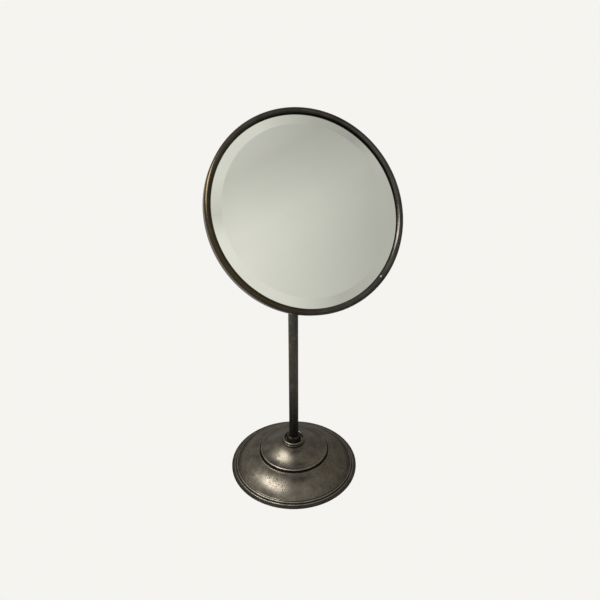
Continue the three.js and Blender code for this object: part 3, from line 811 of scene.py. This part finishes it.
def knurled_cap():
    """The cap on the tube's mouth, with a milled band for the fingers."""
    bottom, top, radius = extent("mouth_cap")
    tube = width("outer_tube") + CLEARANCE
    rod = width("inner_rod") + CLEARANCE
    roof, teeth, tooth_depth = top - 1.3, 48, 0.35
    rings = [
        (tube, bottom),
        (radius - 0.5, bottom),
        (radius - 0.1, bottom + 0.5),
        (radius - 0.1, bottom + 1.4),
        (radius - tooth_depth, bottom + 1.7),
        (radius - tooth_depth, bottom + 1.9),
        (radius, bottom + 2.2),
        (radius, top - 3.2),
        (radius - tooth_depth, top - 2.9),
        (radius - tooth_depth, top - 2.6),
        (radius - 0.1, top - 2.3),
        *arc(radius - 0.9, top - 0.8, 0.8, 0, 90, 5),
        (rod, top),
        (rod, roof),
        (tube, roof),
    ]
    cap = turned("mouth_cap_milled", rings, 2 * teeth)
    edit(cap)
    bpy.ops.mesh.select_all(action="DESELECT")
    bpy.ops.object.mode_set(mode="OBJECT")
    for vertex in cap.data.vertices:
        out = math.hypot(vertex.co.x, vertex.co.y) / MM
        turn = math.atan2(vertex.co.y, vertex.co.x)
        step = round(turn * teeth / math.pi)
        vertex.select = out > radius - 0.05 and step % 2 == 0
    bpy.ops.object.mode_set(mode="EDIT")
    shrink = (radius - tooth_depth) / radius
    bpy.ops.transform.resize(value=(shrink, shrink, 1), center_override=(0, 0, 0))
    bpy.ops.object.mode_set(mode="OBJECT")
    smooth(cap, 25)
    finished(cap, "stand", "dark_stem", "mouth_cap")


def sliding_rod():
    """The rod that slides in the tube, thinner inside its bush and inside the elbow."""
    bottom, top, radius = extent("inner_rod")
    shoulder = extent("friction_bush")[1] + CLEARANCE
    elbow_foot = extent("elbow")[0]
    core, tenon = 2.3, 2.6
    seat = elbow_foot - 0.2
    rings = [
        (core, bottom),
        (core, shoulder),
        (radius, shoulder),
        (radius, (shoulder + elbow_foot) / 2),
        (radius, seat),
        (tenon, seat),
        (tenon, top),
    ]
    rod = smooth(turned("draw_rod", rings, 48, "capped"))
    finished(rod, "arm", "dark_stem", "inner_rod")


def stud_root():
    """The point, in metres, where the ball stud's axis meets the stem's inside the elbow."""
    depth = 6
    return Vector((0, 0, (extent("elbow")[1] - depth) * MM))


def cast_elbow():
    """Upright barrel with a domed top and a boss that takes the ball stud."""
    bottom, top, _ = extent("elbow")
    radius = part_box("elbow")[1].x / MM
    crown, groove_rise, groove_depth = 2.6, 0.3, 0.35
    rings = [
        (radius - 0.5, bottom),
        (radius, bottom + 0.5),
        (radius, top - crown),
        *arc(radius - crown, top - crown, crown, 15, 90, 6),
        (radius - crown - 1.6, top),
    ]
    barrel = turned("elbow_cast", rings, 64, "capped")
    boss_rings = [(4.3, 0), (4.3, 6.9), (4.0, 7.5), (3.5, 7.6)]
    boss = turned("boss_tool", boss_rings, 48, "capped")
    place(boss, stud_root(), BALL - stud_root())
    cut(barrel, boss, "UNION")
    for height in (bottom + 2.0, bottom + 3.2):
        groove = [
            (radius + 1, height - groove_rise),
            (radius + 1, height + groove_rise),
            (radius - groove_depth, height),
        ]
        cut(barrel, turned("groove_tool", groove, 64))
    smooth(soften(barrel, 0.35, 3, 32), 40)
    finished(barrel, "arm", "dark_stem", "elbow")


def turned_ball_stud():
    """The ball, its neck, and the thinner shank that is screwed into the elbow."""
    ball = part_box("ball_stud")
    radius = (ball[1].x - ball[0].x) / 2 / MM
    neck, shank = 3.0, 2.2
    axis = BALL - stud_root()
    root = -axis.length / MM
    meet = math.degrees(math.acos(neck / radius))
    rings = [
        (shank, root + 1.2),
        (shank, root + 7.9),
        (neck, root + 7.9),
        (neck, -radius * math.sin(math.radians(meet)) - 0.2),
        *arc(0, 0, radius, -meet, 86, 26),
        (0.2, radius),
    ]
    stud = turned("ball_stud_turned", rings, 64, "capped")
    place(stud, BALL, axis)
    smooth(stud)
    finished(stud, "arm", "steel", "ball_stud")


def build_stem():
    drawn_tube()
    knurled_cap()
    sliding_rod()
    cast_elbow()
    turned_ball_stud()


# ---- mirror head ------------------------------------------------------------------------------


def socket_half(name, node, rings, rivets=()):
    """One dish of the ball joint, drilled for its fixings."""
    half = turned(name, rings, 96)
    low, high, _ = head_extent(node)
    screw_hole, drill_reach = 1.7, 4
    for spot in SOCKET_SCREWS:
        cut(half, drill(screw_hole, -drill_reach, drill_reach, spot))
    for spot in rivets:
        cut(half, drill(RIVET_HOLE, low + 6, high + 1, spot))
    soften(half, 0.2, 2, 40)
    place(half, BALL, FACING)
    smooth(half)
    finished(half, "head", "dark_stem", node)


def ball_socket():
    """The cup that is riveted to the back of the mirror, and the cap that shuts on the ball."""
    bore, cap_wall = 9.8, 1.6
    flange, flange_top, parting = 20, 2.35, 0.15
    _, plate_front, plate_radius = head_extent("socket_cup")
    plate_back = plate_front - 2.4
    waist, lower_fillet, upper_fillet = 13.2, 1.2, 1.6
    pin_hole = 0.3
    cup = [
        (pin_hole, bore),
        *arc(0, 0, bore, 80, 1, 12),
        (flange, parting),
        (flange, flange_top),
        (waist + lower_fillet, flange_top),
        *arc(waist + lower_fillet, flange_top + lower_fillet, lower_fillet, -90, -180, 4),
        (waist, plate_back - upper_fillet),
        *arc(waist + upper_fillet, plate_back - upper_fillet, upper_fillet, 180, 90, 4),
        (plate_radius - 0.8, plate_back),
        (plate_radius, plate_back + 0.8),
        (plate_radius, plate_front),
        (pin_hole, plate_front),
    ]
    cap = [
        (flange, -parting),
        *arc(0, 0, bore, -1, -28, 6),
        *arc(0, 0, bore + cap_wall, -28, -12, 4),
        (flange, -flange_top),
    ]
    socket_half("socket_cup_turned", "socket_cup", cup, PLATE_RIVETS)
    socket_half("socket_cap_turned", "socket_cap", cap)


def slotted_screw():
    """One of the socket's screws, drawn on its own axis."""
    head_back = head_extent("socket_screw_1")[0]
    head_front, shank, shank_end = head_back + 1.9, 1.4, 2.1
    screw_rings = [
        (2.1, head_back),
        *arc(2.4, head_back + 0.5, 0.5, -90, 0, 3),
        (2.9, head_front),
        (shank, head_front),
        (shank, shank_end),
    ]
    screw = turned("slotted_screw", screw_rings, 40, "capped")
    slot = (8, 0.8, 1.6)
    cut(screw, bar(slot, (0, 0, head_back)))
    return smooth(soften(screw, 0.08, 2, 40), 35)


def domed_rivet():
    """One of the plate's rivets: a domed head, a shank and a flatter closed end."""
    low, high, _ = head_extent("plate_rivet_1")
    shank, head_foot, closed_end = 1.35, low + 1.4, high - 1.1
    rivet_rings = [
        (0.3, low),
        (1.4, low + 0.16),
        (2.2, low + 0.6),
        (2.7, low + 1.15),
        (2.8, head_foot),
        (shank, head_foot),
        (shank, closed_end),
        (2.4, closed_end),
        (2.2, high - 0.2),
        (1.2, high),
    ]
    return smooth(turned("domed_rivet", rivet_rings, 32, "capped"), 50)


def copied_round(pattern, spots, node, slot):
    """A copy of a fixing at each of its places, each turned further than the last."""
    turn_each = math.radians(37)
    for number, (x, y) in enumerate(spots, start=1):
        copy = pattern.copy()
        copy.data = pattern.data.copy()
        copy.name = f"{node}_made_{number}"
        bpy.context.scene.collection.objects.link(copy)
        turn = Matrix.Rotation(turn_each * number, 4, "Z")
        copy.data.transform(Matrix.Translation((x * MM, y * MM, 0)) @ turn)
        place(copy, BALL, FACING)
        finished(copy, "head", slot, f"{node}_{number}")
    bpy.data.objects.remove(pattern)


def spun_back_pan():
    """The back: a flat middle, a shallow slope out and a turned-up wall with a rim."""
    back, rim_front, rim_radius = head_extent("back_pan")
    flat = head_extent("socket_cup")[2] + 4
    wall = head_extent("bezel")[2] - 5.2
    skin, corner, pin_hole = 0.9, 3, 0.5
    rim_back = rim_front - skin
    rings = [
        (pin_hole, back),
        (flat, back),
        (flat + 3, back + 0.06),
        *arc(wall - corner, rim_back, corner, -84, 0, 10),
        (rim_radius, rim_back),
        (rim_radius, rim_front),
        (wall - skin, rim_front),
        *arc(wall - corner, rim_back, corner - skin, 0, -84, 8),
        (flat, back + skin),
        (pin_hole, back + skin),
    ]
    pan = turned("back_pan_spun", rings, 144)
    for spot in PLATE_RIVETS:
        cut(pan, drill(RIVET_HOLE, back - 1, back + 2, spot))
    place(pan, BALL, FACING)
    smooth(pan)
    finished(pan, "head", "bronzed_frame", "back_pan")


def bevelled_glass():
    """The round glass, ground down in a wide bevel to a thin edge."""
    back, front, radius = head_extent("mirror_glass")
    bevel_width, bevel_drop = 13.6, 1.3
    rings = [
        (radius, back),
        (radius, front - bevel_drop),
        (radius - bevel_width, front),
    ]
    glass = turned("bevelled_mirror", rings, 256, "capped")
    place(glass, BALL, FACING)
    smooth(glass, 3)
    finished(glass, "head", "silvered_glass", "mirror_glass")


def rolled_frame():
    """Side wall, rolled front bead and crimped back edge, butted at one seam."""
    back, front, radius = head_extent("bezel")
    skin, inset, crimp, back_corner = 0.9, 0.5, 4.0, 0.7
    centre, middle = radius - FRAME_BEAD, front - FRAME_BEAD
    wall = radius - inset
    meet = -math.degrees(math.acos((wall - centre) / FRAME_BEAD))
    inner = FRAME_BEAD - skin
    inner_meet = -math.degrees(math.acos((wall - skin - centre) / inner))
    lip, lip_end = centre - FRAME_BEAD, middle - 0.355
    rings = [
        (wall - crimp, back),
        (wall - back_corner, back),
        *arc(wall - back_corner, back + back_corner, back_corner, -90, 0, 5),
        (wall, back + 4),
        *arc(centre, middle, FRAME_BEAD, meet, 180, 24),
        (lip, lip_end),
        (lip + skin, lip_end),
        *arc(centre, middle, inner, 180, inner_meet, 12),
        (wall - skin, back + skin),
        (wall - crimp, back + skin),
    ]
    ring = turned("rolled_frame", rings, 256)
    seam_gap = 0.35
    gap = bar((20, seam_gap, 30), (centre, 0, middle))
    gap.matrix_world = Matrix.Rotation(FRAME_SEAM, 4, "Z")
    only(gap)
    bpy.ops.object.transform_apply(location=True, rotation=True, scale=True)
    cut(ring, gap)
    place(ring, BALL, FACING)
    smooth(ring)
    finished(ring, "head", "bronzed_frame", "bezel")


def build_head():
    ball_socket()
    copied_round(slotted_screw(), SOCKET_SCREWS, "socket_screw", "steel")
    copied_round(domed_rivet(), PLATE_RIVETS, "plate_rivet", "plain_brass")
    spun_back_pan()
    bevelled_glass()
    rolled_frame()


build_base()
build_stem()
build_head()

# ---- floor, light and camera ------------------------------------------------------------------

PALE = (0.913, 0.905, 0.871, 1)


def plain_but_shaded(shading, kind, output):
    """A surface that looks plain and pale. The shader returned is what shows in reflections."""
    seen = shading.add(kind)
    seen.inputs["Color"].default_value = PALE
    mirrored = shading.add(kind)
    ray = shading.add("ShaderNodeLightPath")
    mix = shading.add("ShaderNodeMixShader")
    shading.join(ray.outputs["Is Camera Ray"], mix.inputs["Fac"])
    shading.join(mirrored.outputs[0], mix.inputs[1])
    shading.join(seen.outputs[0], mix.inputs[2])
    shading.join(mix.outputs["Shader"], shading.add(output).inputs["Surface"])
    return mirrored


def studio():
    """A plain pale floor. It reflects painted light, paler on the left, and a painted shadow round the foot."""
    bpy.ops.object.select_all(action="DESELECT")
    bpy.ops.mesh.primitive_plane_add(size=30)
    floor = bpy.context.object
    floor.name = "floor"
    pale = bpy.data.materials.new("pale_floor")
    pale.use_nodes = True
    pale.node_tree.nodes.clear()
    shading = Shading(pale.node_tree)
    spot = shading.add("ShaderNodeTexCoord").outputs["Object"]
    split = shading.add("ShaderNodeSeparateXYZ")
    shading.join(spot, split.inputs["Vector"])
    # Painted light: in reflections the floor glows paler on the left and dimmer on the right.
    side = shading.between(split.outputs["X"], -0.7, 0.5, 0.75, 0.26)
    reach = shading.add("ShaderNodeVectorMath", operation="LENGTH")
    shading.join(spot, reach.inputs[0])
    # Painted shadow: in reflections the floor goes dark close round the foot.
    foot_shadow = shading.between(reach.outputs["Value"], 0.08, 0.21, 0.06, 1.0)
    mirrored = plain_but_shaded(shading, "ShaderNodeEmission", "ShaderNodeOutputMaterial")
    mirrored.inputs["Color"].default_value = (1.0, 0.975, 0.93, 1)
    shading.join(shading.calc("MULTIPLY", side, foot_shadow), mirrored.inputs["Strength"])
    floor.data.materials.append(pale)


def soft_light(name, azimuth, elevation, size, power):
    """A soft box turned to face the base, its size in metres and its angles in degrees."""
    distance, tint = 2, (1, 0.985, 0.96)
    turn, rise = math.radians(azimuth), math.radians(elevation)
    level = math.cos(rise)
    aim = Vector((math.sin(turn) * level, -math.cos(turn) * level, math.sin(rise)))
    lamp = bpy.data.lights.new(name, "AREA")
    lamp.shape = "RECTANGLE"
    lamp.size, lamp.size_y = size
    lamp.energy = power
    lamp.color = tint
    light = bpy.data.objects.new(name, lamp)
    bpy.context.scene.collection.objects.link(light)
    light.location = distance * aim
    light.rotation_euler = (-aim).to_track_quat("-Z", "Y").to_euler()


def room_light():
    """A soft room, brightest ahead on the left and dimmer to the right and behind."""
    world = bpy.data.worlds.new("room")
    bpy.context.scene.world = world
    world.use_nodes = True
    world.node_tree.nodes.clear()
    shading = Shading(world.node_tree)
    brightest = (-0.75, -0.45, 0.48)
    # Brightness from the darkest side round to the brightest, then from level up to overhead.
    turned_levels = (
        (0.0, 0.26),
        (0.17, 0.36),
        (0.5, 0.52),
        (0.61, 0.51),
        (0.705, 0.79),
        (0.80, 0.85),
        (1.0, 0.88),
    )
    raised_levels = (
        (0.0, 0.95),
        (0.52, 0.95),
        (0.61, 1.0),
        (0.64, 0.98),
        (0.70, 0.74),
        (0.78, 0.88),
        (1.0, 1.0),
    )
    direction = shading.add("ShaderNodeTexCoord").outputs["Generated"]
    aim = shading.add("ShaderNodeVectorMath", operation="DOT_PRODUCT")
    aim.inputs[1].default_value = brightest
    shading.join(direction, aim.inputs[0])
    turned_share = shading.between(aim.outputs["Value"], -1.0, 1.0)
    warm = [(spot, (level, 0.985 * level, 0.94 * level)) for spot, level in turned_levels]
    split = shading.add("ShaderNodeSeparateXYZ")
    shading.join(direction, split.inputs["Vector"])
    grey = [(spot, (level, level, level)) for spot, level in raised_levels]
    dimmed = shading.add("ShaderNodeVectorMath", operation="MULTIPLY")
    shading.join(shading.shades(turned_share, *warm), dimmed.inputs[0])
    shading.join(shading.shades(split.outputs["Z"], *grey), dimmed.inputs[1])
    mirrored = plain_but_shaded(shading, "ShaderNodeBackground", "ShaderNodeOutputWorld")
    shading.join(dimmed.outputs["Vector"], mirrored.inputs["Color"])


def camera():
    """Ahead and to the left, above the mirror, tipped down and swung a little off the stem."""
    data = bpy.data.cameras.new("camera")
    data.lens = 39.0
    data.sensor_width = 36.0
    eye = bpy.data.objects.new("camera", data)
    bpy.context.scene.collection.objects.link(eye)
    azimuth, tip, swing = math.radians(-22.98), math.radians(29.09), math.radians(0.70)
    away, height = 0.6133, 0.5746
    eye.location = (away * math.sin(azimuth), -away * math.cos(azimuth), height)
    heading = azimuth - swing
    look = Vector((-math.sin(heading), math.cos(heading), -math.tan(tip)))
    eye.rotation_euler = look.to_track_quat("-Z", "Y").to_euler()
    bpy.context.scene.camera = eye


studio()
room_light()
soft_light("soft_box", azimuth=-85, elevation=54, size=(1.25, 0.6), power=30)
camera()
bpy.context.scene.view_settings.view_transform = "Standard"
